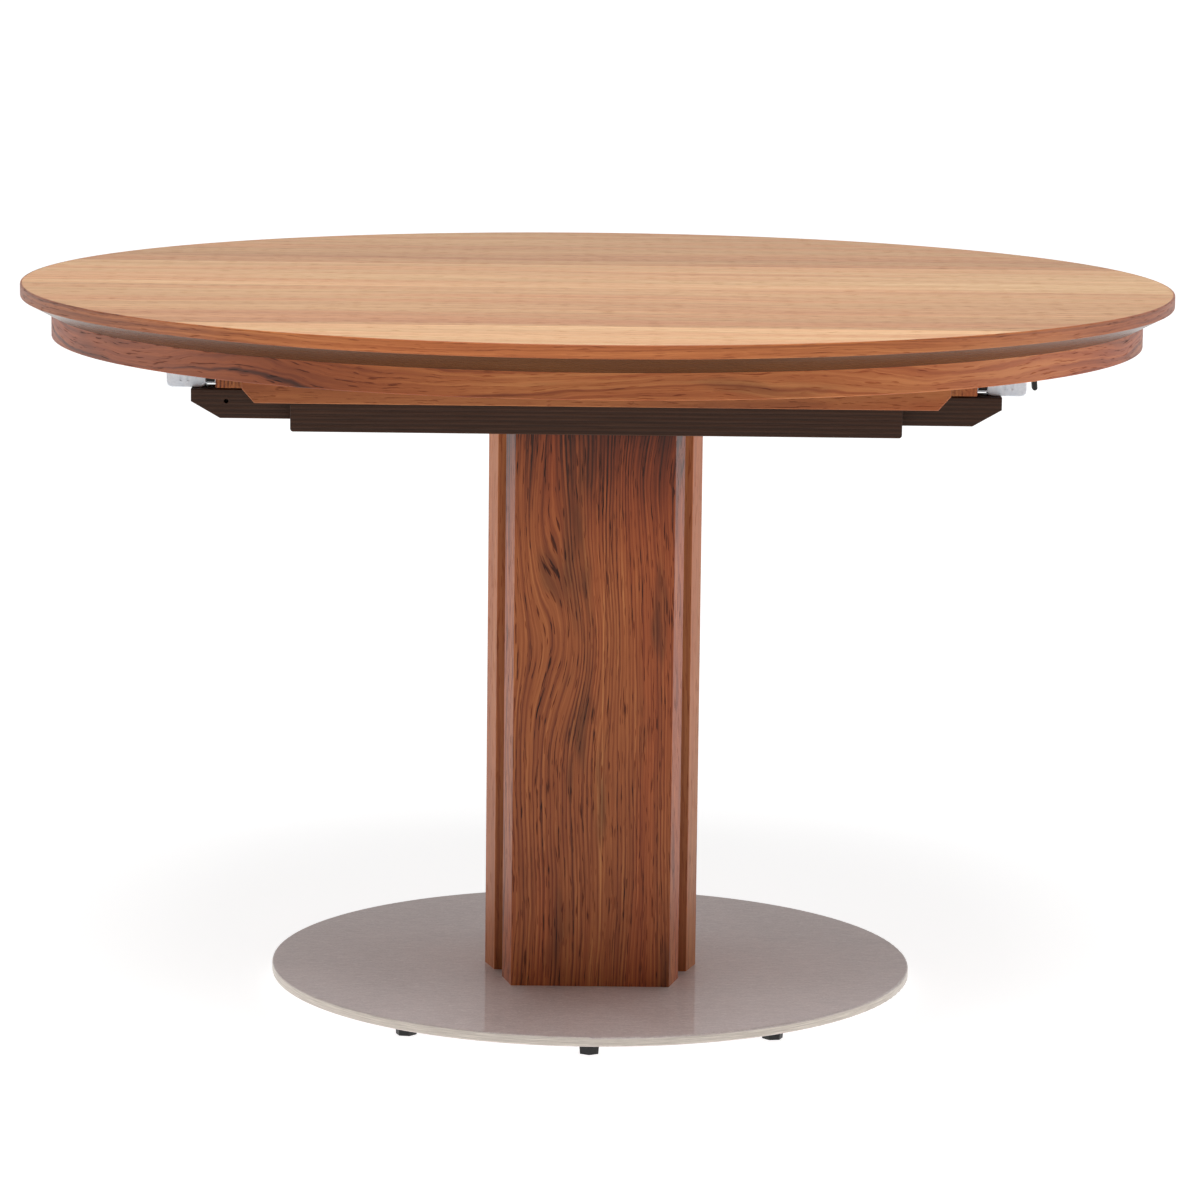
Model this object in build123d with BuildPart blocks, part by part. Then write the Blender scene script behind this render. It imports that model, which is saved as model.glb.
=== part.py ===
from build123d import *
import os
from math import acos, cos, pi, radians, sin, sqrt, tan

# Extending round pedestal table. Millimetres, +Z up, origin on the floor under the middle.
# The top is split along X: the front half slides to -Y and the rear half to +Y.

os.makedirs("parts", exist_ok=True)

SIDES = {"front": -1, "rear": 1}
HANDS = {"left": -1, "right": 1}

# Top
TOP_Z = 740.0            # height of the table
TOP_R = 590.0            # radius of the round top
BOARD_T = 13.0           # walnut board and its edge band
BAND_W = 2.0             # thickness of the edge band
EDGE_ROUND = 1.2         # rounding on the rim of the top
ARRIS = 1.0              # rounding on the edges of the other wood pieces
UNDER_T = 16.0           # dark under-board with the long bevel
APRON_R = 558.5          # outside of the apron, and foot of the bevel
APRON_T = 20.0
APRON_H = 25.5
SEAM_GAP = 0.4           # between the closed halves
BOARD_Z = TOP_Z - BOARD_T
UNDER_Z = BOARD_Z - UNDER_T
APRON_Z = UNDER_Z - APRON_H
SEAM_DOWEL_X = (-470.0, -180.0, 180.0, 470.0)
SEAM_DOWEL_R = 5.0
SEAM_DOWEL_L = 18.0      # length of a dowel on each side of the seam
SEAM_DOWEL_PLAY = 0.4    # in the front half, where the dowels slide in and out
GLUE_BLOCK_ANGLES = (-68, -35, 0, 35, 68)
GLUE_BLOCK = 22.0
GLUE_BLOCK_L = 40.0
GLUE_BLOCK_CUT = 3.0

# Cross board and battens under each half
FASCIA_Y = 400.0         # outer face
FASCIA_T = 20.0
FASCIA_TIP_X = 337.0
FASCIA_FOOT_X = 325.0
FASCIA_TIP_Z = 673.5
FASCIA_Z = 660.0
BATTEN_X = 352.0
BATTEN_W = 27.0
BATTEN_Z = 668.5
BATTEN_OUT_Y = 352.0
BATTEN_IN_Y = 8.0

# Slides
TRAVEL = 200.0           # of each half
RAIL_X = 395.0
RAIL_W = 38.0
RAIL_H = 30.0
RAIL_Z = 667.0
RAIL_HALF_L = 329.0
RAIL_WALL = 3.0
RAIL_FLOOR = 4.0
RAIL_SLOT = 16.0
RAIL_CORNER = 2.0
RAIL_SCREW_Y = 319.0
RAIL_SCREW_IN = 11.0     # from the middle of the rail
RAIL_SCREW_R = 2.0
RAIL_SCREW_L = 20.0
SCREW_HEAD_R = 3.4
SCREW_HEAD_H = 2.0
SLIDE_PLAY = 0.6
SLIDER_W = 30.0
SLIDER_NECK = 14.0
SLIDER_FLANGE_W = 34.0
SLIDER_FLANGE_T = 4.0
SLIDER_OUT_Y = 330.0
SLIDER_IN_Y = 8.0
SLIDER_SCREW_Y = (30.0, 120.0, 210.0, 300.0)
SLIDER_SCREW_X = 12.0    # each side of the neck
SLIDER_SCREW_R = 1.8
SLIDER_SCREW_L = 16.0
CAP_H = 33.0
CAP_T = 6.0
CAP_ROUND = 6.0
CAP_FACE_ROUND = 0.8
CAP_GROOVE_X = (-2.0, 5.0)
CAP_GROOVE_W = 2.4
CAP_GROOVE_H = 21.0
CAP_GROOVE_DEPTH = 1.0
CAP_LIP_X = (366.0, 376.0)  # an angled lip beside the cap, which holds the buffer
CAP_LIP_Z = (671.0, 684.0)
CAP_LIP_T = 1.4
BUFFER_W = 8.2
BUFFER_H = 10.0
BUFFER_L = 14.0
BUFFER_ROUND = 1.2

# Beams on the column
CROSS_X = 389.5          # half length of the cross beam that carries the rails
CROSS_Z = 639.0
CROSS_Y = 350.0          # outer face
CROSS_T = 40.0
CROSS_CUT_X = 28.0
CROSS_CUT_Z = 16.0
SPARE_HOLE = (-355.5, 655.5)
SPARE_HOLE_R = 2.2
SPARE_HOLE_DEPTH = 12.0
LOWER_X = 292.5
LOWER_Z = 630.0
LOWER_H = 34.0
LOWER_T = 26.0
LOWER_ROUND = 3.0
BEARER_X = 80.0
BEARER_W = 36.0
BEARER_Z = 630.0
BEAM_SCREW_R = 2.5
BEAM_SCREW_L = 70.0
BEAM_SCREW_STEP = 14.0

# Folding leaf, stored between the slides
LEAF_X = 590.0
LEAF_Y = 400.0
LEAF_T = 17.5
LEAF_Z = 673.0
LEAF_GAP = 1.0
LEAF_HINGE_Y = (-150.0, 0.0, 150.0)
LEAF_HINGE_W = 30.0
LEAF_PLATE_T = 1.6
LEAF_PLATE_H = 14.0
LEAF_KNUCKLE_R = 2.0
LEAF_PIN_R = 1.0
LEAF_PIN_GAP = 0.2       # from the knuckles to the edge of the leaf
LEAF_PLATE_GAP = 0.3     # from the knuckles to the plates
LEAF_OUTER_KNUCKLES = ((-15.0, -8.0), (8.0, 15.0))
LEAF_MIDDLE_KNUCKLE = ((-7.6, 7.6),)
LEAF_EDGE = 0.8
REST_W = 24.0
REST_L = 170.0
REST_Y = 110.0
REST_ROUND = 4.0

# Synchronising gear
MODULE = 1.5
TEETH = 16
FLANK_STEPS = 4
PRESSURE = radians(20)
PITCH_R = MODULE * TEETH / 2
BACKLASH = 0.35
PINION_X = 318.0
PINION_Z = 679.0
PINION_H = 12.0
PIN_R = 4.95
PINION_BORE_R = 5.0
PINION_PLAY = 0.4        # above and below the pinion
TOOTH_FOOT_SPREAD = 0.03  # extra half angle of a tooth at its foot
PIN_FLANGE_R = 8.0
PIN_FOOT_T = 3.0
PIN_CLIP_R = 7.0
PIN_CLIP_T = 1.2
GEAR_BAR_X = 412.0       # reaches under the slide rails
GEAR_BAR_W = 36.0
GEAR_BAR_T = 4.0
GEAR_BAR_ROUND = 4.0
RACK_BACK = 3.5          # from the tooth roots to the back of the rack
RACK_Z = 680.0
RACK_H = 9.0
RACK_LEAD = 12.0         # toothed length past the pinion at each end of the travel
RACK_TAIL = 118.0        # length that is fixed to the rack's own half
RACK_ARM_Z = 692.0
RACK_ARM_H = 6.0
RACK_ARM_W = 30.0
RACK_POST_T = 4.0
RACK_FLAG = (16.0, 108.0)  # distances from the seam of the flag that joins a front rack to its batten
RACK_LAP = 1.0

# Lock at the seam
LOCK_X = 448.0
LOCK_PIN_Z = 690.0
LOCK_PIN_R = 3.0
LOCK_CAM_R = 9.0
LOCK_CAM_GAP = 0.3
LOCK_STRIKE_T = 2.5
LOCK_STRIKE_W = 16.0
LOCK_STRIKE_Y = (-44.0, 6.0)
LOCK_STRIKE_BEND = (-3.0, -2.0)  # where its upper face drops clear of the rear half
LOCK_BASE_W = 26.0
LOCK_EAR_T = 3.0
LOCK_EAR_Y = (8.0, 24.0)
LOCK_EAR_R = 8.0
LOCK_BASE_TAIL = 8.0     # base past the far ear
LOCK_HOLE_PLAY = 0.05
LOCK_PIN_ENDS = (0.8, 28.5)
LOCK_CAM_Y = (1.2, 5.5)
LOCK_CAM_EYE_R = 5.5
LEVER_TIP = (453.2, 634.4)
LEVER_W = 5.5
LEVER_HUB_R = 7.5
LEVER_PLAY = 0.5
LEVER_ROUND = 1.5

# Column
COLUMN_TOP = 624.0
HEAD_PLATE_T = BEARER_Z - COLUMN_TOP
HEAD_PLATE_X = 230.0
HEAD_PLATE_Y = 200.0
HEAD_PLATE_ROUND = 8.0
HEAD_SCREW_Y = 80.0
HEAD_SCREW_R = 2.4
HEAD_SCREW_HEAD_R = 4.9
HEAD_SCREW_SINK = 2.5
HEAD_SCREW_L = 30.0
HEAD_SCREW_POINT = 3.0
HEAD_HOLE_R = 2.5
HEAD_SINK_R = 5.0
FACE_X = 81.0            # half width of the front face
FACE_Y = 123.0
SHOULDER_X = 91.0        # behind the front board's bevel
SHOULDER_Y = 83.0
BOARD_BACK_Y = 75.0
STEP_Y = 53.0
STEP_X = 99.8
SIDE_X = 110.0
SIDE_FLAT_Y = 20.0
SIDE_IN_X = 80.0
POST_IN_X = 69.0
ROD_X = 48.0
ROD_Y = 35.0
ROD_R = 5.0
ROD_HOLE_R = 5.5
ROD_PROUD = 2.0          # past its nut
ROD_CHAMFER = 0.8
NUT_AF = 17.0
NUT_H = 8.0
WASHER_R = 10.0
WASHER_T = 2.0
END_BLOCK_H = 18.0
END_BLOCK_PLAY = 0.5

# Base
PLATE_R = 333.5
PLATE_Z = 17.5
PLATE_T = 10.0
PLATE_ROUND = 1.8
PLATE_TOP = PLATE_Z + PLATE_T
GLIDES = 9
GLIDE_RING_R = 287.0
GLIDE_AF = 18.4          # across the flats of the hexagon, at the floor
GLIDE_TAPER = 4.0        # degrees by which it widens upwards
GLIDE_STUD_R = 4.0
GLIDE_STUD_H = 7.0
GLIDE_STUD_PLAY = 0.5


def save(piece, name):
    """Label one finished piece and write it as its own file."""
    piece.label = name
    export_step(piece, f"parts/{name}.step")


def across(y):
    """A plane parallel to XZ at this y. Its extrusions run towards -Y."""
    return Plane.XZ.offset(-y)


def keep_half(radius, side):
    """Keep one half of a round sketch, short of the seam."""
    with Locations((0, side * (SEAM_GAP + radius) / 2)):
        Rectangle(2 * radius + 2, radius, mode=Mode.INTERSECT)


def span(side, inner, outer):
    """The y of the rear face and the depth of a piece between two distances from the seam."""
    return max(side * inner, side * outer), outer - inner


def outer_arrises(builder, reach, axis):
    """The upright edges that lie further out than reach along this axis."""
    upright = builder.edges().filter_by(Axis.Z)
    return upright.filter_by(lambda edge: abs(edge.center().dot(axis.direction)) > reach)


def screw(x, y, seat_z, up, shank_r, shank_l):
    """A pan-head screw along Z: up is +1 when it is driven upwards from its seat."""
    with Locations((x, y, seat_z + up * shank_l / 2)):
        Cylinder(shank_r, shank_l)
    with Locations((x, y, seat_z - up * SCREW_HEAD_H / 2)):
        Cylinder(SCREW_HEAD_R, SCREW_HEAD_H)


# ---------------------------------------------------------------- base and column

with BuildPart() as base_plate:
    with BuildSketch(Plane.XY.offset(PLATE_Z)):
        Circle(PLATE_R)
    extrude(amount=PLATE_T)
    fillet(base_plate.edges().filter_by(GeomType.CIRCLE), radius=PLATE_ROUND)
    with Locations(Plane.XY.offset(PLATE_Z)):
        with GridLocations(2 * ROD_X, 2 * ROD_Y, 2, 2):
            Cylinder(ROD_HOLE_R, 2 * PLATE_T + 1, mode=Mode.SUBTRACT)
        with PolarLocations(GLIDE_RING_R, GLIDES, start_angle=-90):
            Cylinder(GLIDE_STUD_R, 2 * GLIDE_STUD_H, mode=Mode.SUBTRACT)
save(base_plate.part, "base_plate")

with BuildPart() as floor_glides:
    with BuildSketch():
        with PolarLocations(GLIDE_RING_R, GLIDES, start_angle=-90):
            RegularPolygon(GLIDE_AF / 2, 6, major_radius=False)
    extrude(amount=PLATE_Z, taper=-GLIDE_TAPER)
    with Locations(Plane.XY.offset(PLATE_Z)):
        with PolarLocations(GLIDE_RING_R, GLIDES, start_angle=-90):
            Cylinder(
                GLIDE_STUD_R,
                GLIDE_STUD_H - GLIDE_STUD_PLAY,
                align=(Align.CENTER, Align.CENTER, Align.MIN),
            )
save(floor_glides.part, "floor_glides")

for name, side in SIDES.items():
    with BuildPart() as column_board:
        with BuildSketch(Plane.XY.offset(PLATE_TOP)):
            with BuildLine():
                Polyline(
                    (-FACE_X, side * FACE_Y),
                    (FACE_X, side * FACE_Y),
                    (SHOULDER_X, side * SHOULDER_Y),
                    (SHOULDER_X, side * BOARD_BACK_Y),
                    (-SHOULDER_X, side * BOARD_BACK_Y),
                    (-SHOULDER_X, side * SHOULDER_Y),
                    close=True,
                )
            make_face()
        extrude(amount=COLUMN_TOP - PLATE_TOP)
        fillet(outer_arrises(column_board, SHOULDER_Y - 1, Axis.Y), radius=ARRIS)
    save(column_board.part, f"column_{name}_board")

for name, hand in HANDS.items():
    with BuildPart() as column_side:
        with BuildSketch(Plane.XY.offset(PLATE_TOP)):
            with BuildLine():
                Polyline(
                    (hand * SIDE_IN_X, -STEP_Y),
                    (hand * STEP_X, -STEP_Y),
                    (hand * SIDE_X, -SIDE_FLAT_Y),
                    (hand * SIDE_X, SIDE_FLAT_Y),
                    (hand * STEP_X, STEP_Y),
                    (hand * SIDE_IN_X, STEP_Y),
                    close=True,
                )
            make_face()
        extrude(amount=COLUMN_TOP - PLATE_TOP)
        fillet(outer_arrises(column_side, SHOULDER_X, Axis.X), radius=ARRIS)
    save(column_side.part, f"column_side_{name}")

with BuildPart() as column_corner_posts:
    with BuildSketch(Plane.XY.offset(PLATE_TOP)):
        with GridLocations(SHOULDER_X + POST_IN_X, BOARD_BACK_Y + STEP_Y, 2, 2):
            Rectangle(SHOULDER_X - POST_IN_X, BOARD_BACK_Y - STEP_Y)
    extrude(amount=COLUMN_TOP - PLATE_TOP)
save(column_corner_posts.part, "column_corner_posts")

with BuildPart() as column_end_blocks:
    for z in (PLATE_TOP, COLUMN_TOP - END_BLOCK_H):
        with BuildSketch(Plane.XY.offset(z)):
            Rectangle(2 * (SIDE_IN_X - END_BLOCK_PLAY), 2 * (STEP_Y - END_BLOCK_PLAY))
            with GridLocations(2 * ROD_X, 2 * ROD_Y, 2, 2):
                Circle(ROD_HOLE_R, mode=Mode.SUBTRACT)
        extrude(amount=END_BLOCK_H)
save(column_end_blocks.part, "column_end_blocks")

rod_top = BEARER_Z + WASHER_T + NUT_H + ROD_PROUD
rod_foot = PLATE_Z - WASHER_T - NUT_H - ROD_PROUD

with BuildPart() as tie_rods:
    with BuildSketch(Plane.XY.offset(rod_foot)):
        with GridLocations(2 * ROD_X, 2 * ROD_Y, 2, 2):
            Circle(ROD_R)
    extrude(amount=rod_top - rod_foot)
    chamfer(tie_rods.edges().filter_by(GeomType.CIRCLE), length=ROD_CHAMFER)
save(tie_rods.part, "tie_rods")

with BuildPart() as tie_washers:
    for z in (PLATE_Z - WASHER_T, BEARER_Z):
        with BuildSketch(Plane.XY.offset(z)):
            with GridLocations(2 * ROD_X, 2 * ROD_Y, 2, 2):
                Circle(WASHER_R)
                Circle(ROD_HOLE_R, mode=Mode.SUBTRACT)
        extrude(amount=WASHER_T)
save(tie_washers.part, "tie_washers")

with BuildPart() as tie_nuts:
    for z in (PLATE_Z - WASHER_T - NUT_H, BEARER_Z + WASHER_T):
        with BuildSketch(Plane.XY.offset(z)):
            with GridLocations(2 * ROD_X, 2 * ROD_Y, 2, 2):
                RegularPolygon(NUT_AF / 2, 6, major_radius=False)
                Circle(ROD_R, mode=Mode.SUBTRACT)
        extrude(amount=NUT_H)
save(tie_nuts.part, "tie_nuts")

# ---------------------------------------------------------------- beams on the column

with BuildPart() as head_plate:
    with BuildSketch(Plane.XY.offset(COLUMN_TOP)):
        RectangleRounded(HEAD_PLATE_X, HEAD_PLATE_Y, HEAD_PLATE_ROUND)
        with GridLocations(2 * ROD_X, 2 * ROD_Y, 2, 2):
            Circle(ROD_HOLE_R, mode=Mode.SUBTRACT)
    extrude(amount=HEAD_PLATE_T)
    with Locations(Plane.XY.offset(COLUMN_TOP).rotated((180, 0, 0))):
        with GridLocations(2 * BEARER_X, 2 * HEAD_SCREW_Y, 2, 2):
            CounterSinkHole(HEAD_HOLE_R, HEAD_SINK_R, depth=HEAD_PLATE_T)
save(head_plate.part, "head_plate")

with BuildPart() as head_plate_screws:
    with BuildSketch(Plane.XZ):
        with BuildLine():
            Polyline(
                (0, 0),
                (HEAD_SCREW_HEAD_R, 0),
                (HEAD_SCREW_R, HEAD_SCREW_SINK),
                (HEAD_SCREW_R, HEAD_SCREW_L),
                (0, HEAD_SCREW_L + HEAD_SCREW_POINT),
                close=True,
            )
        make_face()
    head_screw = revolve(axis=Axis.Z, mode=Mode.PRIVATE)
    with Locations(Plane.XY.offset(COLUMN_TOP)):
        with GridLocations(2 * BEARER_X, 2 * HEAD_SCREW_Y, 2, 2):
            add(head_screw)
save(head_plate_screws.part, "head_plate_screws")

with BuildPart() as bearers:
    with BuildSketch(Plane.XY.offset(BEARER_Z)):
        with GridLocations(2 * BEARER_X, 1, 2, 1):
            Rectangle(BEARER_W, 2 * (CROSS_Y - CROSS_T))
    extrude(amount=RAIL_Z - BEARER_Z)
    with BuildSketch(Plane.XY.offset(RAIL_Z)):
        Rectangle(2 * GEAR_BAR_X, GEAR_BAR_W)
    extrude(amount=-GEAR_BAR_T, mode=Mode.SUBTRACT)
save(bearers.part, "bearers")

for name, side in SIDES.items():
    rear_y, depth = span(side, CROSS_Y - CROSS_T, CROSS_Y)
    with BuildPart() as cross_beam:
        with BuildSketch(across(rear_y)):
            with BuildLine():
                Polyline(
                    (-CROSS_X, RAIL_Z),
                    (-CROSS_X, CROSS_Z + CROSS_CUT_Z),
                    (-CROSS_X + CROSS_CUT_X, CROSS_Z),
                    (CROSS_X - CROSS_CUT_X, CROSS_Z),
                    (CROSS_X, CROSS_Z + CROSS_CUT_Z),
                    (CROSS_X, RAIL_Z),
                    close=True,
                )
            make_face()
        extrude(amount=depth)
        outer_face = cross_beam.faces().sort_by(Axis.Y)[0 if side < 0 else -1]
        fillet(outer_face.edges(), radius=ARRIS)
        if side < 0:
            with BuildSketch(across(-CROSS_Y)):
                with Locations(SPARE_HOLE):
                    Circle(SPARE_HOLE_R)
            extrude(amount=-SPARE_HOLE_DEPTH, mode=Mode.SUBTRACT)
    save(cross_beam.part, f"cross_beam_{name}")

with BuildPart() as lower_beams:
    for side in SIDES.values():
        rear_y, depth = span(side, CROSS_Y, CROSS_Y + LOWER_T)
        with BuildSketch(across(rear_y)):
            with Locations((0, LOWER_Z + LOWER_H / 2)):
                RectangleRounded(2 * LOWER_X, LOWER_H, LOWER_ROUND)
        extrude(amount=depth)
    fillet(lower_beams.faces().sort_by(Axis.Y)[0].edges(), radius=ARRIS)
    fillet(lower_beams.faces().sort_by(Axis.Y)[-1].edges(), radius=ARRIS)
save(lower_beams.part, "lower_beams")

with BuildPart() as beam_screws:
    for side in SIDES.values():
        rear_y, depth = span(side, CROSS_Y - BEAM_SCREW_L, CROSS_Y)
        with BuildSketch(across(rear_y)):
            with Locations((0, (CROSS_Z + RAIL_Z) / 2)):
                with GridLocations(2 * BEARER_X, BEAM_SCREW_STEP, 2, 2):
                    Circle(BEAM_SCREW_R)
        extrude(amount=depth)
save(beam_screws.part, "beam_screws")

for name, hand in HANDS.items():
    with BuildPart() as slide_rail:
        with BuildSketch(across(RAIL_HALF_L)):
            with Locations((hand * RAIL_X, RAIL_Z + RAIL_H / 2)):
                Rectangle(RAIL_W, RAIL_H)
            with Locations((hand * RAIL_X, RAIL_Z + (RAIL_FLOOR + RAIL_H - RAIL_WALL) / 2)):
                Rectangle(RAIL_W - 2 * RAIL_WALL, RAIL_H - RAIL_FLOOR - RAIL_WALL, mode=Mode.SUBTRACT)
            with Locations((hand * RAIL_X, RAIL_Z + RAIL_H)):
                Rectangle(RAIL_SLOT, 4 * RAIL_WALL, mode=Mode.SUBTRACT)
        extrude(amount=2 * RAIL_HALF_L)
        chamfer(slide_rail.edges().filter_by(Axis.Y).group_by(Axis.Z)[0], length=RAIL_CORNER)
    save(slide_rail.part, f"slide_rail_{name}")

with BuildPart() as rail_screws:
    for hand in HANDS.values():
        for y in (-RAIL_SCREW_Y, 0, RAIL_SCREW_Y):
            x = hand * (RAIL_X - RAIL_SCREW_IN)
            length = RAIL_SCREW_L if y else RAIL_SCREW_L / 2
            screw(x, y, RAIL_Z + RAIL_FLOOR - SCREW_HEAD_H, -1, RAIL_SCREW_R, length)
save(rail_screws.part, "rail_screws")

# ---------------------------------------------------------------- synchronising gear

rack_tip = MODULE
rack_root = 1.25 * MODULE
tooth_pitch = pi * MODULE
half_tooth = (tooth_pitch / 2 - BACKLASH) / 2


def pinion_outline():
    """Involute teeth round the origin, the first one on the X axis."""
    base_r = PITCH_R * cos(PRESSURE)
    tip_r = PITCH_R + MODULE
    root_r = PITCH_R - rack_root

    def roll(radius):
        pressure = acos(min(1.0, base_r / radius))
        return tan(pressure) - pressure

    half_angle = half_tooth / PITCH_R
    radii = [base_r + (tip_r - base_r) * k / FLANK_STEPS for k in range(FLANK_STEPS + 1)]
    flank = [(root_r, half_angle + roll(PITCH_R) + TOOTH_FOOT_SPREAD)]
    flank += [(r, half_angle + roll(PITCH_R) - roll(r)) for r in radii]
    points = []
    for tooth in range(TEETH):
        middle = 2 * pi * tooth / TEETH
        points += [(r * cos(middle - a), r * sin(middle - a)) for r, a in flank]
        points += [(r * cos(middle + a), r * sin(middle + a)) for r, a in reversed(flank)]
    return points


def rack_outline(hand, out, near_y, far_y, back_x):
    """A rack's outline seen from above. out is +1 when the teeth point to smaller |x|."""
    pitch_x = PINION_X + out * PITCH_R
    tip_half = half_tooth - rack_tip * tan(PRESSURE)
    root_half = half_tooth + rack_root * tan(PRESSURE)
    first = round((min(near_y, far_y) / tooth_pitch)) + 1
    last = round((max(near_y, far_y) / tooth_pitch)) - 1
    root_x = pitch_x + out * rack_root
    tip_x = pitch_x - out * rack_tip
    points = [(hand * back_x, min(near_y, far_y)), (hand * root_x, min(near_y, far_y))]
    for k in range(first, last):
        middle = (k + 0.5) * tooth_pitch
        points += [
            (hand * root_x, middle - root_half),
            (hand * tip_x, middle - tip_half),
            (hand * tip_x, middle + tip_half),
            (hand * root_x, middle + root_half),
        ]
    points += [(hand * root_x, max(near_y, far_y)), (hand * back_x, max(near_y, far_y))]
    return points


with BuildPart() as gear_bar:
    with BuildSketch(Plane.XY.offset(RAIL_Z - GEAR_BAR_T)):
        RectangleRounded(2 * GEAR_BAR_X, GEAR_BAR_W, GEAR_BAR_ROUND)
        with GridLocations(2 * PINION_X, 1, 2, 1):
            Circle(PIN_R, mode=Mode.SUBTRACT)
    extrude(amount=GEAR_BAR_T)
save(gear_bar.part, "gear_bar")

with BuildPart() as pinion_pins:
    bar_foot = RAIL_Z - GEAR_BAR_T
    seat_z = PINION_Z - PINION_PLAY
    clip_z = PINION_Z + PINION_H + PINION_PLAY
    with BuildSketch(Plane.XZ):
        with BuildLine():
            Polyline(
                (0, bar_foot - PIN_FOOT_T),
                (PIN_FLANGE_R, bar_foot - PIN_FOOT_T),
                (PIN_FLANGE_R, bar_foot),
                (PIN_R, bar_foot),
                (PIN_R, RAIL_Z),
                (PIN_FLANGE_R, RAIL_Z),
                (PIN_FLANGE_R, seat_z),
                (PIN_R, seat_z),
                (PIN_R, clip_z),
                (PIN_CLIP_R, clip_z),
                (PIN_CLIP_R, clip_z + PIN_CLIP_T),
                (0, clip_z + PIN_CLIP_T),
                close=True,
            )
        make_face()
    pin = revolve(axis=Axis.Z, mode=Mode.PRIVATE)
    with GridLocations(2 * PINION_X, 1, 2, 1):
        add(pin)
save(pinion_pins.part, "pinion_pins")

for name, hand in HANDS.items():
    with BuildPart() as pinion:
        with BuildSketch(Plane.XY.offset(PINION_Z)):
            with Locations((hand * PINION_X, 0)):
                Polygon(*pinion_outline(), align=None)
                Circle(PINION_BORE_R, mode=Mode.SUBTRACT)
        extrude(amount=PINION_H)
    save(pinion.part, f"pinion_{name}")

# ---------------------------------------------------------------- folding leaf

for name, z in {"lower": LEAF_Z, "upper": LEAF_Z + LEAF_T + LEAF_GAP}.items():
    with BuildPart() as leaf:
        with BuildSketch(Plane.XY.offset(z)):
            Rectangle(LEAF_X, LEAF_Y)
        extrude(amount=LEAF_T)
        chamfer(leaf.edges().filter_by(Axis.Y), length=LEAF_EDGE)
    save(leaf.part, f"leaf_{name}")

leaf_fold_z = LEAF_Z + LEAF_T + LEAF_GAP / 2
leaf_pin_x = -LEAF_X / 2 - LEAF_KNUCKLE_R - LEAF_PIN_GAP

with BuildPart() as leaf_hinge_plates:
    for y in LEAF_HINGE_Y:
        for up, knuckles in ((-1, LEAF_OUTER_KNUCKLES), (1, LEAF_MIDDLE_KNUCKLE)):
            plate_z = leaf_fold_z + up * (LEAF_KNUCKLE_R + LEAF_PLATE_GAP + LEAF_PLATE_H / 2)
            with Locations((-(LEAF_X + LEAF_PLATE_T) / 2, y, plate_z)):
                Box(LEAF_PLATE_T, LEAF_HINGE_W, LEAF_PLATE_H)
            for start, end in knuckles:
                with BuildSketch(across(y + end)):
                    with Locations((leaf_pin_x, leaf_fold_z)):
                        Circle(LEAF_KNUCKLE_R)
                    with Locations((-(LEAF_X + LEAF_PLATE_T) / 2, leaf_fold_z)):
                        web = (Align.CENTER, Align.MIN if up > 0 else Align.MAX)
                        Rectangle(LEAF_PLATE_T, LEAF_KNUCKLE_R + 2 * LEAF_PLATE_GAP, align=web)
                    with Locations((leaf_pin_x, leaf_fold_z)):
                        Circle(LEAF_PIN_R, mode=Mode.SUBTRACT)
                extrude(amount=end - start)
save(leaf_hinge_plates.part, "leaf_hinge_plates")

with BuildPart() as leaf_hinge_pins:
    for y in LEAF_HINGE_Y:
        with BuildSketch(across(y + LEAF_HINGE_W / 2)):
            with Locations((leaf_pin_x, leaf_fold_z)):
                Circle(LEAF_PIN_R)
        extrude(amount=LEAF_HINGE_W)
save(leaf_hinge_pins.part, "leaf_hinge_pins")

with BuildPart() as leaf_rests:
    with BuildSketch(Plane.XY.offset(RAIL_Z)):
        with GridLocations(2 * BEARER_X, 2 * REST_Y, 2, 2):
            RectangleRounded(REST_W, REST_L, REST_ROUND)
    extrude(amount=LEAF_Z - RAIL_Z)
save(leaf_rests.part, "leaf_rests")


# ---------------------------------------------------------------- the two halves of the top

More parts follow.
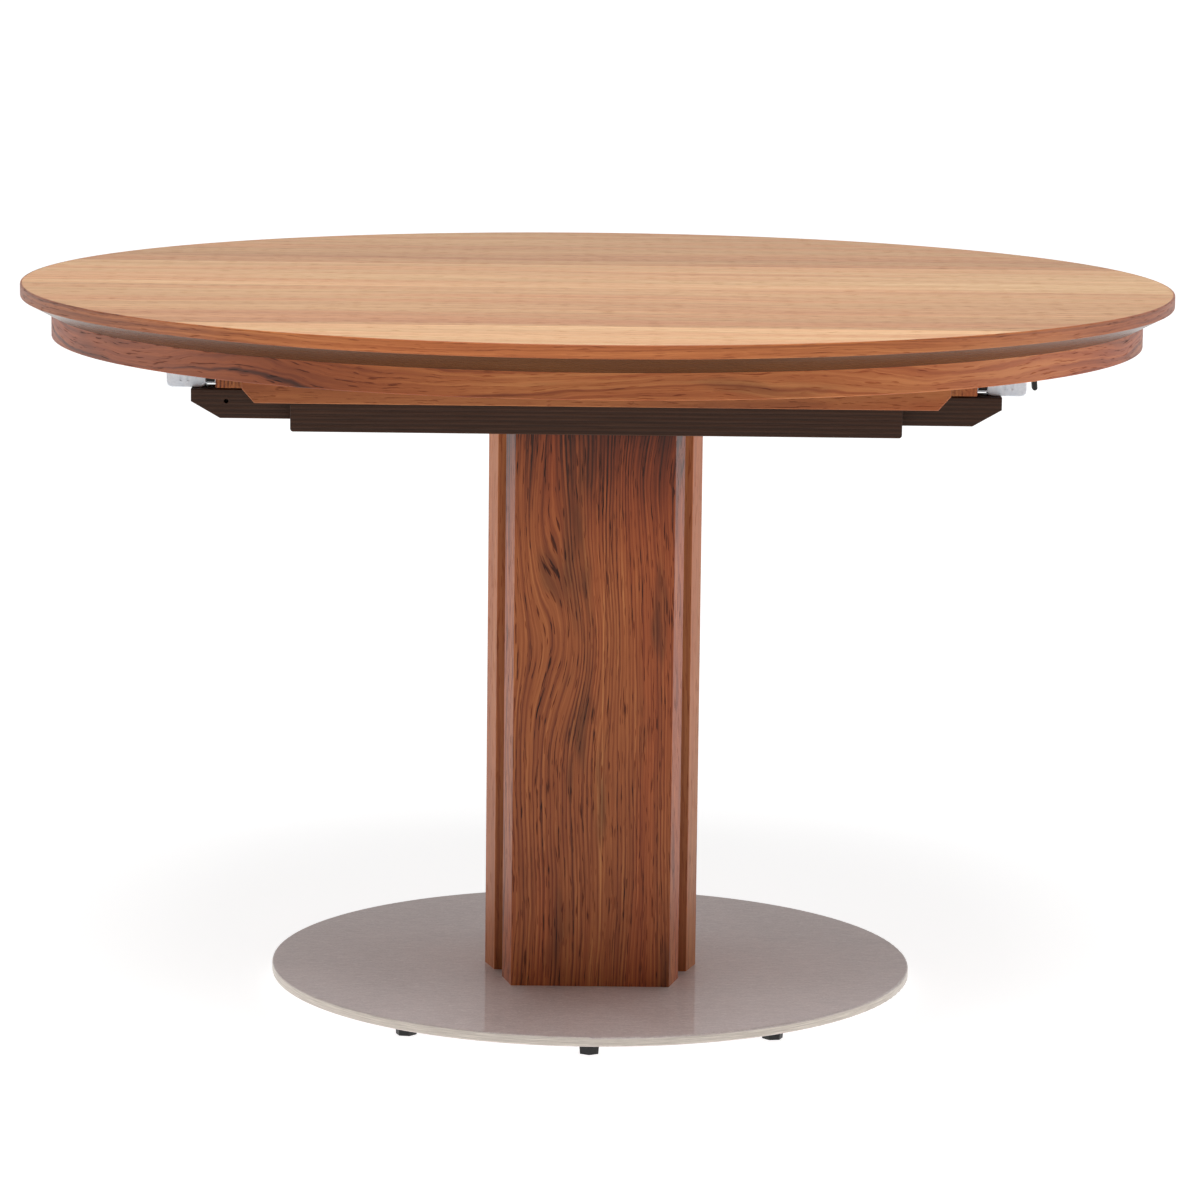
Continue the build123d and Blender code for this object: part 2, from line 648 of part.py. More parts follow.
def make_top(name, side):
    """The round top of one half: boards, edge band, apron and its glue blocks."""
    with BuildPart() as top_board:
        with BuildSketch(Plane.XY.offset(BOARD_Z)):
            Circle(TOP_R - BAND_W)
            keep_half(TOP_R, side)
        extrude(amount=BOARD_T)
    save(top_board.part, f"top_board_{name}")

    with BuildPart() as edge_band:
        with BuildSketch(Plane.XY.offset(BOARD_Z)):
            Circle(TOP_R)
            Circle(TOP_R - BAND_W, mode=Mode.SUBTRACT)
            keep_half(TOP_R, side)
        extrude(amount=BOARD_T)
        rims = edge_band.edges().filter_by(GeomType.CIRCLE).filter_by(lambda e: e.radius > TOP_R - 1)
        fillet(rims, radius=EDGE_ROUND)
    save(edge_band.part, f"edge_band_{name}")

    with BuildPart() as under_board:
        with Locations((0, 0, UNDER_Z + UNDER_T / 2)):
            Cone(APRON_R, TOP_R - EDGE_ROUND, UNDER_T)
        split(bisect_by=across(side * SEAM_GAP / 2), keep=Keep.TOP if side < 0 else Keep.BOTTOM)
        dowel_hole_r = SEAM_DOWEL_R + (SEAM_DOWEL_PLAY if side < 0 else 0)
        with BuildSketch(across(side * SEAM_GAP / 2)):
            with Locations(*[(x, UNDER_Z + UNDER_T / 2) for x in SEAM_DOWEL_X]):
                Circle(dowel_hole_r)
        extrude(amount=-side * (SEAM_DOWEL_L + 1), mode=Mode.SUBTRACT)
    save(under_board.part, f"under_board_{name}")

    with BuildPart() as apron:
        with BuildSketch(Plane.XY.offset(APRON_Z)):
            Circle(APRON_R)
            Circle(APRON_R - APRON_T, mode=Mode.SUBTRACT)
            keep_half(APRON_R, side)
        extrude(amount=APRON_H)
        fillet(apron.edges().filter_by(GeomType.CIRCLE).group_by(Axis.Z)[0], radius=ARRIS)
    save(apron.part, f"apron_{name}")

    with BuildPart() as apron_blocks:
        block_r = sqrt((APRON_R - APRON_T) ** 2 - (GLUE_BLOCK_L / 2) ** 2)
        for angle in GLUE_BLOCK_ANGLES:
            out = Vector(sin(radians(angle)), side * cos(radians(angle)), 0)
            along = Vector(out.Y, -out.X, 0)
            plane = Plane(origin=(0, 0, UNDER_Z), x_dir=out, z_dir=along)
            with BuildSketch(plane.offset(-GLUE_BLOCK_L / 2)):
                with BuildLine():
                    Polyline(
                        (block_r, 0),
                        (block_r - GLUE_BLOCK, 0),
                        (block_r - GLUE_BLOCK, -GLUE_BLOCK_CUT),
                        (block_r - GLUE_BLOCK_CUT, -GLUE_BLOCK),
                        (block_r, -GLUE_BLOCK),
                        close=True,
                    )
                make_face()
            extrude(amount=GLUE_BLOCK_L)
    save(apron_blocks.part, f"apron_blocks_{name}")


def make_under_frame(name, side):
    """The cross board with cut-off tips, the battens and the small buffers of one half."""
    rear_y, depth = span(side, FASCIA_Y - FASCIA_T, FASCIA_Y)
    with BuildPart() as fascia:
        with BuildSketch(across(rear_y)):
            with BuildLine():
                Polyline(
                    (-FASCIA_TIP_X, UNDER_Z),
                    (-FASCIA_TIP_X, FASCIA_TIP_Z),
                    (-FASCIA_FOOT_X, FASCIA_Z),
                    (FASCIA_FOOT_X, FASCIA_Z),
                    (FASCIA_TIP_X, FASCIA_TIP_Z),
                    (FASCIA_TIP_X, UNDER_Z),
                    close=True,
                )
            make_face()
        extrude(amount=depth)
        outer_face = fascia.faces().sort_by(Axis.Y)[0 if side < 0 else -1]
        fillet(outer_face.edges().sort_by(Axis.Z)[:-1], radius=ARRIS)
    save(fascia.part, f"fascia_{name}")

    rear_y, depth = span(side, BATTEN_IN_Y, BATTEN_OUT_Y)
    with BuildPart() as battens:
        with BuildSketch(across(rear_y)):
            with Locations((0, (BATTEN_Z + UNDER_Z) / 2)):
                with GridLocations(2 * BATTEN_X, 1, 2, 1):
                    Rectangle(BATTEN_W, UNDER_Z - BATTEN_Z)
        extrude(amount=depth)
        fillet(battens.edges().filter_by(Axis.Y).group_by(Axis.Z)[0], radius=ARRIS)
    save(battens.part, f"battens_{name}")

    with BuildPart() as stop_buffers:
        rear_y, depth = span(side, SLIDER_OUT_Y + CAP_T - BUFFER_L, SLIDER_OUT_Y + CAP_T)
        buffer_x = CAP_LIP_X[0] + CAP_LIP_T + BUFFER_W / 2
        buffer_z = CAP_LIP_Z[0] + CAP_LIP_T + BUFFER_H / 2
        with BuildSketch(across(rear_y)):
            for hand in HANDS.values():
                with Locations((hand * buffer_x, buffer_z)):
                    RectangleRounded(BUFFER_W, BUFFER_H, BUFFER_ROUND)
        extrude(amount=depth)
    save(stop_buffers.part, f"stop_buffers_{name}")


def make_sliders(name, side):
    """The sliders that run in the fixed rails, with their end caps and screws."""
    bottom = RAIL_Z + RAIL_FLOOR + SLIDE_PLAY
    top = RAIL_Z + RAIL_H - RAIL_WALL - SLIDE_PLAY
    rear_y, depth = span(side, SLIDER_IN_Y, SLIDER_OUT_Y)
    with BuildPart() as sliders:
        with BuildSketch(across(rear_y)):
            for hand in HANDS.values():
                with Locations((hand * RAIL_X, bottom)):
                    Rectangle(SLIDER_W, top - bottom, align=(Align.CENTER, Align.MIN))
                    Rectangle(SLIDER_NECK, UNDER_Z - bottom, align=(Align.CENTER, Align.MIN))
                with Locations((hand * RAIL_X, UNDER_Z)):
                    Rectangle(SLIDER_FLANGE_W, SLIDER_FLANGE_T, align=(Align.CENTER, Align.MAX))
        extrude(amount=depth)
    save(sliders.part, f"sliders_{name}")

    rear_y, depth = span(side, SLIDER_OUT_Y, SLIDER_OUT_Y + CAP_T)
    outer_y = side * (SLIDER_OUT_Y + CAP_T)
    with BuildPart() as slide_caps:
        with BuildSketch(across(rear_y)):
            with Locations((0, RAIL_Z + CAP_H / 2)):
                with GridLocations(2 * RAIL_X, 1, 2, 1):
                    RectangleRounded(RAIL_W, CAP_H, CAP_ROUND)
        extrude(amount=depth)
        outer_faces = slide_caps.faces().group_by(Axis.Y)[0 if side < 0 else -1]
        fillet(outer_faces.edges(), radius=CAP_FACE_ROUND)
        with BuildSketch(across(outer_y)):
            for hand in HANDS.values():
                for groove_x in CAP_GROOVE_X:
                    with Locations((hand * (RAIL_X + groove_x), RAIL_Z + CAP_H / 2)):
                        RectangleRounded(CAP_GROOVE_W, CAP_GROOVE_H, CAP_GROOVE_DEPTH)
        extrude(amount=side * CAP_GROOVE_DEPTH, mode=Mode.SUBTRACT)
        with BuildSketch(across(rear_y)):
            for hand in HANDS.values():
                corner = (hand * CAP_LIP_X[0], CAP_LIP_Z[0])
                far = Align.MIN if hand > 0 else Align.MAX
                with Locations(corner):
                    Rectangle(CAP_LIP_X[1] - CAP_LIP_X[0] + 1, CAP_LIP_T, align=(far, Align.MIN))
                    Rectangle(CAP_LIP_T, CAP_LIP_Z[1] - CAP_LIP_Z[0], align=(far, Align.MIN))
        extrude(amount=depth)
    save(slide_caps.part, f"slide_caps_{name}")

    with BuildPart() as slider_screws:
        for hand in HANDS.values():
            for y in SLIDER_SCREW_Y:
                for x in (hand * RAIL_X - SLIDER_SCREW_X, hand * RAIL_X + SLIDER_SCREW_X):
                    screw(x, side * y, UNDER_Z - SLIDER_FLANGE_T, 1, SLIDER_SCREW_R, SLIDER_SCREW_L)
    save(slider_screws.part, f"slider_screws_{name}")


def make_racks(name, side):
    """One rack on each hand. The front half's racks pass outside the pinions, the rear's inside."""
    out = 1 if side < 0 else -1
    back_x = PINION_X + out * (PITCH_R + rack_root + RACK_BACK)
    batten_x = BATTEN_X - BATTEN_W / 2
    far_y = -side * (TRAVEL + RACK_LEAD)
    near_y = side * RACK_TAIL
    with BuildPart() as racks:
        for hand in HANDS.values():
            with BuildSketch(Plane.XY.offset(RACK_Z)):
                Polygon(*rack_outline(hand, out, near_y, far_y, back_x), align=None)
            extrude(amount=RACK_H)
            if side < 0:
                with BuildSketch(Plane.XY.offset(RACK_Z)):
                    with Locations((hand * (back_x - RACK_LAP + batten_x) / 2, side * sum(RACK_FLAG) / 2)):
                        Rectangle(batten_x - back_x + RACK_LAP, RACK_FLAG[1] - RACK_FLAG[0])
                extrude(amount=RACK_H)
            else:
                with BuildSketch(Plane.XY.offset(RACK_Z)):
                    with Locations((hand * (back_x + RACK_POST_T / 2), near_y - RACK_ARM_W / 2)):
                        Rectangle(RACK_POST_T, RACK_ARM_W)
                extrude(amount=RACK_ARM_Z + RACK_ARM_H - RACK_Z)
                with BuildSketch(Plane.XY.offset(RACK_ARM_Z)):
                    with Locations((hand * (back_x + batten_x) / 2, near_y - RACK_ARM_W / 2)):
                        Rectangle(batten_x - back_x, RACK_ARM_W)
                extrude(amount=RACK_ARM_H)
    save(racks.part, f"racks_{name}")


for name, side in SIDES.items():
    make_top(name, side)
    make_under_frame(name, side)
    make_sliders(name, side)
    make_racks(name, side)

with BuildPart() as seam_dowels:
    with BuildSketch(Plane.XZ):
        with Locations(*[(x, UNDER_Z + UNDER_T / 2) for x in SEAM_DOWEL_X]):
            Circle(SEAM_DOWEL_R)
    extrude(amount=SEAM_DOWEL_L, both=True)
    chamfer(seam_dowels.edges().filter_by(GeomType.CIRCLE), length=1.0)
save(seam_dowels.part, "seam_dowels")

# ---------------------------------------------------------------- lock at the seam

strike_top = UNDER_Z - LOCK_CAM_GAP
strike_foot = strike_top - LOCK_STRIKE_T
cam_lift = strike_foot - LOCK_CAM_GAP - LOCK_CAM_R

with BuildPart() as lock_strike:
    with BuildSketch(Plane.YZ.offset(LOCK_X - LOCK_STRIKE_W / 2)):
        with BuildLine():
            Polyline(
                (LOCK_STRIKE_Y[0], UNDER_Z),
                (LOCK_STRIKE_BEND[0], UNDER_Z),
                (LOCK_STRIKE_BEND[1], strike_top),
                (LOCK_STRIKE_Y[1], strike_top),
                (LOCK_STRIKE_Y[1], strike_foot),
                (LOCK_STRIKE_Y[0], strike_foot),
                close=True,
            )
        make_face()
    extrude(amount=LOCK_STRIKE_W)
save(lock_strike.part, "lock_strike")

with BuildPart() as lock_body:
    base_far_y = LOCK_EAR_Y[1] + LOCK_EAR_T + LOCK_BASE_TAIL
    with Locations((LOCK_X, (LOCK_EAR_Y[0] + base_far_y) / 2, UNDER_Z - LOCK_EAR_T / 2)):
        Box(LOCK_BASE_W, base_far_y - LOCK_EAR_Y[0], LOCK_EAR_T)
    for ear_y in LOCK_EAR_Y:
        with BuildSketch(across(ear_y + LOCK_EAR_T)):
            with Locations((LOCK_X, LOCK_PIN_Z)):
                Circle(LOCK_EAR_R)
                Rectangle(2 * LOCK_EAR_R, UNDER_Z - LOCK_PIN_Z - 1, align=(Align.CENTER, Align.MIN))
                Circle(LOCK_PIN_R + LOCK_HOLE_PLAY, mode=Mode.SUBTRACT)
        extrude(amount=LOCK_EAR_T)
save(lock_body.part, "lock_body")

with BuildPart() as lock_pin:
    with BuildSketch(across(LOCK_PIN_ENDS[1])):
        with Locations((LOCK_X, LOCK_PIN_Z)):
            Circle(LOCK_PIN_R)
    extrude(amount=LOCK_PIN_ENDS[1] - LOCK_PIN_ENDS[0])
    chamfer(lock_pin.edges().filter_by(GeomType.CIRCLE), length=0.5)
save(lock_pin.part, "lock_pin")

lever_start = LOCK_EAR_Y[0] + LOCK_EAR_T + LEVER_PLAY
lever_end = LOCK_EAR_Y[1] - LEVER_PLAY

with BuildPart() as lock_lever:
    reach = Vector(LEVER_TIP[0] - LOCK_X, LEVER_TIP[1] - LOCK_PIN_Z)
    with BuildSketch(across(lever_end)):
        with Locations((LOCK_X, LOCK_PIN_Z)):
            Circle(LEVER_HUB_R)
            SlotCenterPoint((reach.X / 2, reach.Y / 2), (reach.X, reach.Y), LEVER_W)
            Circle(LOCK_PIN_R, mode=Mode.SUBTRACT)
    extrude(amount=lever_end - lever_start)
    fillet(lock_lever.faces().sort_by(Axis.Z)[0].edges().filter_by(GeomType.CIRCLE), radius=LEVER_ROUND)
save(lock_lever.part, "lock_lever")

with BuildPart() as lock_cam:
    with BuildSketch(across(LOCK_CAM_Y[1])):
        with Locations((LOCK_X, cam_lift)):
            Circle(LOCK_CAM_R)
        with Locations((LOCK_X, LOCK_PIN_Z)):
            Circle(LOCK_CAM_EYE_R)
            Circle(LOCK_PIN_R, mode=Mode.SUBTRACT)
    extrude(amount=LOCK_CAM_Y[1] - LOCK_CAM_Y[0])
save(lock_cam.part, "lock_cam")
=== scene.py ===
from math import cos, pi, radians, sin

import bmesh
import bpy
from mathutils import Matrix, Vector

# The looks of the extending round pedestal table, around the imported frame. Metres, +Z up.

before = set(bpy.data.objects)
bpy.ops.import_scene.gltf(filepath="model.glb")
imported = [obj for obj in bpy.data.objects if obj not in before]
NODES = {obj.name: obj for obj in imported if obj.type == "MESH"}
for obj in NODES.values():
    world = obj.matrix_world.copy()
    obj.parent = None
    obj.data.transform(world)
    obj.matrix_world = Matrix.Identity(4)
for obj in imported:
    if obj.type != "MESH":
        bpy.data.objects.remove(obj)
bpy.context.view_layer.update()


def linear(red, green, blue):
    """A colour given in the usual 0 to 255 steps, as the renderer's linear values."""
    steps = [channel / 255 for channel in (red, green, blue)]
    return tuple(c / 12.92 if c <= 0.04045 else ((c + 0.055) / 1.055) ** 2.4 for c in steps) + (1.0,)


# ---------------------------------------------------------------- camera, floor and light

CAMERA_PLACE = Vector((0.0, -5.02617, 1.22734))
CAMERA_LENS = 147.08
CAMERA_YAW = 0.001202
CAMERA_PITCH = 0.161349      # downwards
CAMERA_ROLL = 0.011422


def make_camera():
    forward = Vector((
        sin(CAMERA_YAW) * cos(CAMERA_PITCH),
        cos(CAMERA_YAW) * cos(CAMERA_PITCH),
        -sin(CAMERA_PITCH),
    ))
    level = Vector((cos(CAMERA_YAW), -sin(CAMERA_YAW), 0))
    upright = level.cross(forward)
    right = level * cos(CAMERA_ROLL) + upright * sin(CAMERA_ROLL)
    up = upright * cos(CAMERA_ROLL) - level * sin(CAMERA_ROLL)
    camera = bpy.data.objects.new("camera", bpy.data.cameras.new("camera"))
    camera.data.lens = CAMERA_LENS
    camera.data.sensor_width = 36
    camera.data.clip_end = 200
    bpy.context.scene.collection.objects.link(camera)
    turn = Matrix((right, up, -forward)).transposed()
    camera.matrix_world = Matrix.Translation(CAMERA_PLACE) @ turn.to_4x4()
    bpy.context.scene.camera = camera


SOFTBOXES = (
    # name, place, target, size, watts
    ("softbox_left", (-3.2, -0.1, 0.8), (0, 0, 0.5), 1.4, 10),
    ("softbox_right", (3.2, -0.1, 0.8), (0, 0, 0.5), 1.4, 11),
    ("softbox_above", (0, -1.3, 3.5), (0, 0, 0.7), 2.4, 126),
)
ROOM_FRONT = 0.08            # strength of the room's light from the camera's side
ROOM_BACK = 1.0              # and from the white sweep behind the table
ROOM_TURN = (-0.4, 0.5)      # Y of the directions where the one passes into the other
ROOM_CEILING = 0.2           # how much of that is left overhead
ROOM_RISE = (0.2, 0.7)       # Z of the directions where the sweep passes into the ceiling
BACKDROP = 1.0
FLOOR_R = 30.0
FLOOR_SPREAD = (1.0, 3.5)    # radii of the floor between which its own glow rises
FLOOR_GLOW = (0.82, 1.0)
RANGE_ENDS = ("From Min", "From Max", "To Min", "To Max")


def fade_node(nodes, ends):
    """A smooth step from one level to another, between two values."""
    fade = nodes.new("ShaderNodeMapRange")
    fade.interpolation_type = "SMOOTHSTEP"
    for socket, value in zip(RANGE_ENDS, ends):
        fade.inputs[socket].default_value = value
    return fade


def make_softboxes():
    for name, place, target, size, watts in SOFTBOXES:
        lamp = bpy.data.lights.new(name, "AREA")
        lamp.shape = "SQUARE"
        lamp.size = size
        lamp.energy = watts
        holder = bpy.data.objects.new(name, lamp)
        holder.location = place
        holder.rotation_euler = (Vector(target) - Vector(place)).to_track_quat("-Z", "Y").to_euler()
        bpy.context.scene.collection.objects.link(holder)


def make_room():
    """Dim on the camera's side, bright behind the table, and white to the camera itself."""
    world = bpy.data.worlds.new("white_room")
    world.use_nodes = True
    bpy.context.scene.world = world
    nodes, links = world.node_tree.nodes, world.node_tree.links
    nodes.clear()
    room = nodes.new("ShaderNodeBackground")
    backdrop = nodes.new("ShaderNodeBackground")
    backdrop.inputs["Strength"].default_value = BACKDROP
    direction = nodes.new("ShaderNodeTexCoord")
    parts = nodes.new("ShaderNodeSeparateXYZ")
    links.new(direction.outputs["Generated"], parts.inputs[0])
    strength = nodes.new("ShaderNodeMath")
    strength.operation = "MULTIPLY"
    across_room = ROOM_TURN + (ROOM_FRONT, ROOM_BACK)
    up_room = ROOM_RISE + (1.0, ROOM_CEILING)
    for number, (axis, ends) in enumerate((("Y", across_room), ("Z", up_room))):
        fade = fade_node(nodes, ends)
        links.new(parts.outputs[axis], fade.inputs["Value"])
        links.new(fade.outputs["Result"], strength.inputs[number])
    links.new(strength.outputs[0], room.inputs["Strength"])
    for background in (room, backdrop):
        background.inputs["Color"].default_value = (1, 1, 1, 1)
    path = nodes.new("ShaderNodeLightPath")
    choose = nodes.new("ShaderNodeMixShader")
    output = nodes.new("ShaderNodeOutputWorld")
    links.new(path.outputs["Is Camera Ray"], choose.inputs[0])
    links.new(room.outputs[0], choose.inputs[1])
    links.new(backdrop.outputs[0], choose.inputs[2])
    links.new(choose.outputs[0], output.inputs["Surface"])


def make_floor():
    """A white floor that lights the table from below, and is clear when seen from below."""
    mesh = bpy.data.meshes.new("studio_floor")
    shape = bmesh.new()
    bmesh.ops.create_circle(shape, cap_ends=True, radius=FLOOR_R, segments=96)
    shape.to_mesh(mesh)
    shape.free()
    floor = bpy.data.objects.new("studio_floor", mesh)
    bpy.context.scene.collection.objects.link(floor)
    paper = bpy.data.materials.new("studio_paper")
    paper.use_nodes = True
    tree = paper.node_tree
    surface = tree.nodes["Principled BSDF"]
    surface.inputs["Base Color"].default_value = (0.4, 0.4, 0.4, 1)
    surface.inputs["Roughness"].default_value = 0.9
    surface.inputs["Specular IOR Level"].default_value = 0.1
    surface.inputs["Emission Color"].default_value = (1, 1, 1, 1)
    centre = tree.nodes.new("ShaderNodeTexCoord")
    radius = tree.nodes.new("ShaderNodeVectorMath")
    radius.operation = "LENGTH"
    glow = fade_node(tree.nodes, FLOOR_SPREAD + FLOOR_GLOW)
    tree.links.new(centre.outputs["Object"], radius.inputs[0])
    tree.links.new(radius.outputs["Value"], glow.inputs["Value"])
    tree.links.new(glow.outputs["Result"], surface.inputs["Emission Strength"])
    side = tree.nodes.new("ShaderNodeNewGeometry")
    clear = tree.nodes.new("ShaderNodeBsdfTransparent")
    choose = tree.nodes.new("ShaderNodeMixShader")
    tree.links.new(side.outputs["Backfacing"], choose.inputs[0])
    tree.links.new(surface.outputs[0], choose.inputs[1])
    tree.links.new(clear.outputs[0], choose.inputs[2])
    tree.links.new(choose.outputs[0], tree.nodes["Material Output"].inputs["Surface"])
    mesh.materials.append(paper)


# ---------------------------------------------------------------- building a finish

class Finish:
    """One material, and short calls for the nodes that its pattern is made of."""

    def __init__(self, name):
        self.material = bpy.data.materials.new(name)
        self.material.use_nodes = True
        self.tree = self.material.node_tree
        self.shader = self.tree.nodes["Principled BSDF"]
        coordinates = self.add("ShaderNodeTexCoord").outputs
        self.place = coordinates["Object"]
        self.normal = coordinates["Normal"]

    def add(self, kind, inputs=None, **settings):
        node = self.tree.nodes.new(kind)
        for key, value in settings.items():
            setattr(node, key, value)
        for socket, value in (inputs or {}).items():
            self.feed(node.inputs[socket], value)
        return node

    def feed(self, socket, value):
        if isinstance(value, bpy.types.NodeSocket):
            self.tree.links.new(value, socket)
        else:
            socket.default_value = value

    def wear(self, **values):
        """Feed the shader itself: a plain value, or a pattern."""
        for key, value in values.items():
            self.feed(self.shader.inputs[key.replace("_", " ")], value)

    def math(self, operation, first, second=0.0):
        return self.add("ShaderNodeMath", {0: first, 1: second}, operation=operation).outputs[0]

    def plus(self, *terms):
        total = terms[0]
        for term in terms[1:]:
            total = self.math("ADD", total, term)
        return total

    def times(self, *terms):
        total = terms[0]
        for term in terms[1:]:
            total = self.math("MULTIPLY", total, term)
        return total

    def split(self, vector):
        node = self.add("ShaderNodeSeparateXYZ", {0: vector})
        return tuple(node.outputs)

    def join(self, x, y, z):
        return self.add("ShaderNodeCombineXYZ", {0: x, 1: y, 2: z}).outputs[0]

    def stretch(self, vector, scale, shift=(0.0, 0.0, 0.0)):
        node = self.add("ShaderNodeMapping", {"Vector": vector, "Scale": scale, "Location": shift})
        return node.outputs[0]

    def noise(self, vector, detail=2.0, rough=0.5, twist=0.0, scale=1.0):
        inputs = {
            "Vector": vector,
            "Scale": scale,
            "Detail": detail,
            "Roughness": rough,
            "Distortion": twist,
        }
        return self.add("ShaderNodeTexNoise", inputs).outputs["Fac"]

    def streaks(self, vector, scale, detail=2.0, rough=0.5, shift=(0.0, 0.0, 0.0)):
        """Noise drawn out by a different scale on each axis."""
        return self.noise(self.stretch(vector, scale, shift), detail, rough)

    def range(self, value, low, high, new_low=0.0, new_high=1.0):
        inputs = dict(zip(RANGE_ENDS, (low, high, new_low, new_high)), Value=value)
        return self.add("ShaderNodeMapRange", inputs, interpolation_type="SMOOTHSTEP").outputs["Result"]

    def around(self, value, middle, strength):
        """A value's swing about its middle, at a given strength."""
        return self.times(self.math("SUBTRACT", value, middle), strength)

    def square(self, value):
        return self.math("POWER", self.math("ABSOLUTE", value), 2.0)

    def tint(self, share, colour, shade):
        """The colour multiplied by a shade, as far as the share says."""
        return self.mix(share, colour, self.mix(1.0, colour, shade, "MULTIPLY"))

    def ramp(self, value, stops, mode="LINEAR"):
        node = self.add("ShaderNodeValToRGB", {"Fac": value})
        node.color_ramp.interpolation = mode
        elements = node.color_ramp.elements
        while len(elements) < len(stops):
            elements.new(0.5)
        for element, (place, colour) in zip(elements, stops):
            element.position = place
            element.color = colour if isinstance(colour, tuple) else (colour, colour, colour, 1)
        return node.outputs["Color"]

    def mix(self, share, first, second, blend="MIX"):
        node = self.add("ShaderNodeMix", data_type="RGBA", blend_type=blend)
        self.feed(node.inputs[0], share)
        self.feed(node.inputs[6], first)
        self.feed(node.inputs[7], second)
        return node.outputs[2]

    def bump(self, height, depth, strength=1.0):
        inputs = {"Height": height, "Distance": depth, "Strength": strength}
        self.wear(Normal=self.add("ShaderNodeBump", inputs).outputs["Normal"])


# ---------------------------------------------------------------- walnut

WALNUT = (
    linear(214, 150, 92),
    linear(190, 120, 68),
    linear(165, 96, 52),
    linear(130, 70, 37),
    linear(88, 46, 26),
    linear(52, 28, 18),
)
RED_WALNUT = (
    linear(212, 138, 80),
    linear(188, 108, 58),
    linear(164, 86, 44),
    linear(132, 64, 32),
    linear(88, 42, 23),
    linear(50, 27, 17),
)
HONEY_WALNUT = (
    linear(224, 186, 136),
    linear(198, 152, 104),
    linear(174, 125, 80),
    linear(142, 93, 56),
    linear(98, 58, 36),
    linear(60, 36, 25),
)


OILED_ROUGH = 0.42
RED_TINT = linear(255, 206, 190)
SMOKE_TINT = linear(128, 140, 150)


def walnut_places(finish, lay, radius=1.0):
    """Along the grain, across the face and into the wood, for boards laid in each direction."""
    x, y, z = finish.split(finish.place)
    if lay == "round":
        angle = finish.math("ARCTAN2", x, finish.math("ABSOLUTE", y))
        half = finish.math("SIGN", y)
        distance = finish.math("SQRT", finish.plus(finish.times(x, x), finish.times(y, y)))
        return finish.times(angle, radius), z, finish.plus(distance, half)
    return {"x": (x, y, z), "y": (y, x, z), "z": (z, x, y)}[lay]


def leaf_parts(finish, across, leaves):
    """The tone of each veneer leaf, and a number that tells it from its neighbours."""
    low = leaves[0][0]
    high = leaves[-1][0] + 0.2
    share = finish.math("DIVIDE", finish.math("SUBTRACT", across, low), high - low)
    starts = [(start - low) / (high - low) for start, _ in leaves]
    tones = [(spot, tone) for spot, (_, tone) in zip(starts, leaves)]
    numbers = [(spot, number / len(leaves)) for number, spot in enumerate(starts)]
    return finish.ramp(share, tones, "CONSTANT"), finish.ramp(share, numbers, "CONSTANT")


def swell(finish, heart, along, across, shape):
    """The rings pushed aside round one spot, as round a knot below the face."""
    middle, level, width, length, push, spread = shape
    aside = finish.math("SUBTRACT", across, middle)
    above = finish.math("SUBTRACT", along, level)
    reach = finish.plus(
        finish.square(finish.times(aside, 1 / width)),
        finish.square(finish.times(above, 1 / length)),
    )
    share = finish.math("EXPONENT", finish.times(reach, -1.0))
    moved = finish.times(share, finish.plus(push, finish.times(aside, spread)))
    return finish.math("SUBTRACT", heart, moved)


